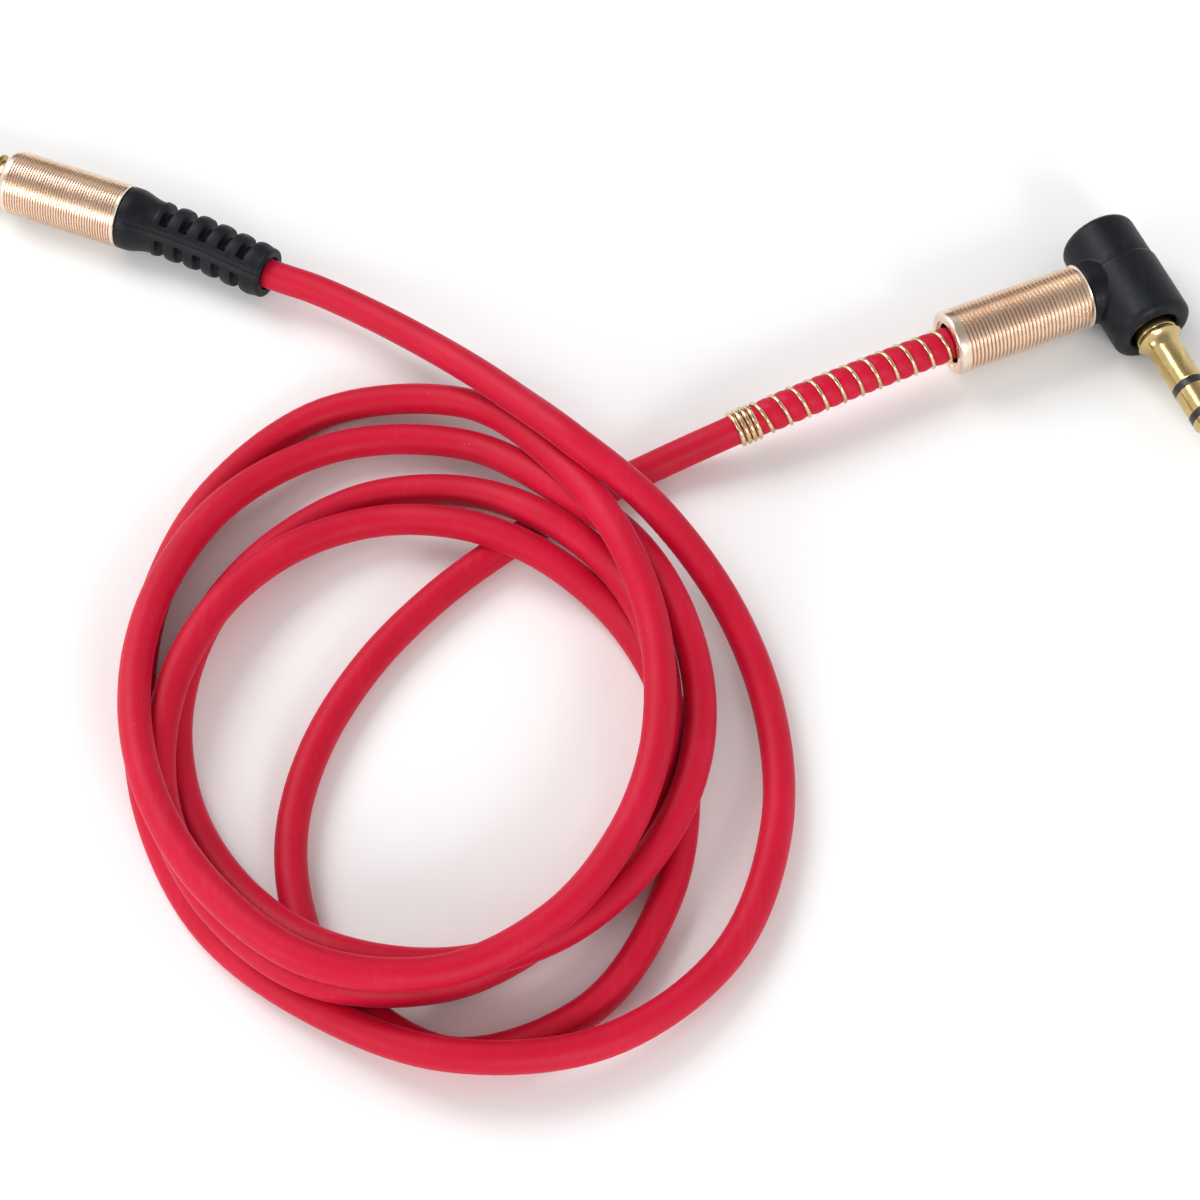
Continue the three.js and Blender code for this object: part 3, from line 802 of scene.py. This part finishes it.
apply_modifier(elbow, "BOOLEAN", operation="DIFFERENCE", object=bore, solver="EXACT")
bpy.data.objects.remove(bore, do_unlink=True)
apply_modifier(elbow, "REMESH", mode="VOXEL", voxel_size=ELBOW_VOXEL, use_smooth_shade=True)
apply_modifier(elbow, "SMOOTH", factor=0.5, iterations=7)
place(elbow, corner_seat)
stands_for(elbow, black_elastomer, "black_rubber", "angled_elbow")
print("elbow faces:", len(elbow.data.polygons))

# %% [markdown]
# ## The spring
#
# A spring of thin pale gold wire grips the cord where it enters the right-angle plug. It
# starts with four turns close together and then opens out. A small circle swept by the
# Screw modifier gives each part of the helix, and both are bent along the cord. Between
# the turns the soft jacket swells a little, so a sleeve of the same red elastomer follows
# the same helix.

# %% Wind the spring
WIRE_R = 0.22
TIGHT_WIRE_R = 0.27
WOUND_R = 1.66
CLOSED_TURNS, CLOSED_PITCH = 4, 0.6
OPEN_TURNS, OPEN_PITCH = 11, 2.0
closed_length = CLOSED_TURNS * CLOSED_PITCH
spring_length = closed_length + OPEN_TURNS * OPEN_PITCH
SPRING_IN_SHELL = 0.65 * MM
spring_start = CORD_LENGTH - (shell_mouth - CORD_END) + SPRING_IN_SHELL - spring_length * MM


def wind(name, start, turns, pitch, thickness):
    """One stretch of wire at an even pitch, open at both ends."""
    deselect()
    bpy.ops.mesh.primitive_circle_add(vertices=12, radius=thickness, location=(start, WOUND_R, 0))
    wire = bpy.context.object
    wire.name = name
    bpy.ops.object.transform_apply(location=True)
    apply_modifier(
        wire, "SCREW", axis="X", angle=2 * math.pi, screw_offset=pitch, iterations=turns, steps=40,
        render_steps=40, use_merge_vertices=False,
    )
    return wire


spring = wind("wire_spring", 0, CLOSED_TURNS, CLOSED_PITCH, TIGHT_WIRE_R)
open_part = wind("open_part", closed_length, OPEN_TURNS, OPEN_PITCH, WIRE_R)
deselect()
open_part.select_set(True)
spring.select_set(True)
bpy.context.view_layer.objects.active = spring
bpy.ops.object.join()
bpy.ops.object.mode_set(mode="EDIT")
bpy.ops.mesh.select_all(action="SELECT")
bpy.ops.mesh.remove_doubles(threshold=1e-3)
bpy.ops.mesh.fill_holes(sides=14)
bpy.ops.mesh.select_all(action="SELECT")
bpy.ops.mesh.normals_make_consistent(inside=False)
bpy.ops.object.mode_set(mode="OBJECT")
bpy.ops.object.shade_smooth()
bend_to_cord(spring, spring_start)
stands_for(spring, spring_gold, "spring_wire", "strain_spring")
print("spring faces:", len(spring.data.polygons))

# %% The jacket swells between the turns
SWELL = 0.2
SWELL_SHAPE = 0.6
JACKET_RINGS = 320
JACKET_PROUD = 0.02
END_FADE = 0.6
ring_places = [spring_length * i / JACKET_RINGS for i in range(JACKET_RINGS + 1)]
jacket_r = CORD_D / MM / 2 + JACKET_PROUD
jacket = turn("gripped_jacket", [(x, jacket_r) for x in ring_places], steps=48, smooth=180)
for vertex in jacket.data.vertices:
    x, y, z = vertex.co
    radius = math.hypot(y, z)
    past_closed = (x - closed_length) / OPEN_PITCH
    turns = x / CLOSED_PITCH if past_closed < 0 else CLOSED_TURNS + past_closed
    between = 0.5 - 0.5 * math.cos(2 * math.pi * turns - math.atan2(z, y))
    open_share = min(1, max(0, past_closed + 0.2))
    end_fade = max(0, min(1, x / END_FADE, (spring_length - x) / END_FADE))
    grown = 1 + SWELL * open_share * end_fade * between**SWELL_SHAPE / radius
    vertex.co = (x, y * grown, z * grown)
bend_to_cord(jacket, spring_start)
stands_for(jacket, red_elastomer, "cord_jacket")
print("jacket faces:", len(jacket.data.polygons))

# %% [markdown]
# ## Inside the plugs
#
# The moulded contact blocks and the three cores of the cord are hidden inside the shells.
# They keep the shapes of the plain model, and get plain finishes of the same recipe.

# %% Hidden parts
INSIDE = {
    "contact_block": ("pale nylon block", (0.62, 0.60, 0.55), (0.68, 0.66, 0.60), 0.0),
    "left_wire": ("red core", (0.55, 0.04, 0.04), (0.62, 0.06, 0.05), 0.0),
    "right_wire": ("green core", (0.05, 0.30, 0.10), (0.07, 0.36, 0.13), 0.0),
    "drain_wire": ("bare copper", (0.72, 0.36, 0.22), (0.80, 0.44, 0.28), 1.0),
}
for kind, (name, deep, bright, metallic) in INSIDE.items():
    inner_finish = make_finish(
        name, tones=(deep, bright), drift=300, rough=(0.35, 0.5), grain=(4000, 0.005),
        marks=(1500, 0.2, bright, 0.3), dust=(1500, 0.05, deep, 0.3), Metallic=metallic,
    )
    for plug in ("straight", "angled"):
        inner_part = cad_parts[f"{plug}_{kind}"]
        inner_part.data.materials.clear()
        inner_part.data.materials.append(inner_finish)

# %% [markdown]
# ## Floor and light
#
# A small product is lit by one large soft window from the upper left and two smaller lamps
# on the left and in front, on a pale table. The walls are bright, and the ceiling and a
# curtain at the back are darker: metal needs such dark patches to reflect. The camera
# itself only sees a pale backdrop.

# %% Floor
bpy.ops.object.select_all(action="DESELECT")
bpy.ops.mesh.primitive_plane_add(size=4, location=(0, 0, 0))
floor = bpy.context.object
floor.name = "floor"
paper = bpy.data.materials.new("white table")
paper.use_nodes = True
paper.node_tree.nodes["Principled BSDF"].inputs["Base Color"].default_value = (0.88, 0.88, 0.88, 1)
paper.node_tree.nodes["Principled BSDF"].inputs["Roughness"].default_value = 0.8
floor.data.materials.append(paper)

# %% Sky
SKY_HORIZON = 1.0
SKY_ABOVE = 0.4
CURTAIN = 0.12
BACKDROP = 0.97
world = bpy.data.worlds.new("studio")
bpy.context.scene.world = world
world.use_nodes = True
sky = world.node_tree
background = sky.nodes["Background"]
ray = sky.nodes.new("ShaderNodeTexCoord").outputs["Generated"]
upward = add_node(sky, "SeparateXYZ", {"Vector": ray})
rise = add_node(
    sky, "MapRange",
    {
        "Value": upward.outputs["Z"], "From Min": 0.45, "From Max": 0.9,
        "To Min": SKY_HORIZON, "To Max": SKY_ABOVE,
    },
)
curtain = add_node(
    sky, "MapRange",
    {"Value": upward.outputs["Y"], "From Min": 0.80, "From Max": 0.93, "To Min": 1.0, "To Max": CURTAIN},
)
room = add_node(
    sky, "Math", {0: rise.outputs["Result"], 1: curtain.outputs["Result"]}, operation="MULTIPLY"
)
seen = add_node(sky, "LightPath")
level = add_node(
    sky, "Mix", {0: seen.outputs["Is Camera Ray"], 2: room.outputs[0], 3: BACKDROP}, data_type="FLOAT"
)
sky.links.new(level.outputs[0], background.inputs["Strength"])
background.inputs["Color"].default_value = (1, 1, 1, 1)


# %% Soft lamps
def soft_lamp(name, place_at, side, watts):
    """A square area lamp that faces the middle of the lead."""
    data = bpy.data.lights.new(name, "AREA")
    data.size = side
    data.energy = watts
    lamp = bpy.data.objects.new(name, data)
    lamp.location = place_at
    lamp.rotation_euler = (LOOK_AT - lamp.location).to_track_quat("-Z", "Y").to_euler()
    bpy.context.scene.collection.objects.link(lamp)
    print("lamp:", name)


soft_lamp("window", Vector((-0.40, 0.30, 0.50)), 0.4, 3.0)
soft_lamp("left side", Vector((-0.55, -0.45, 0.30)), 0.25, 1.3)
soft_lamp("front", Vector((0.35, -0.75, 0.42)), 0.26, 2.8)
bpy.context.scene.view_settings.view_transform = "Standard"
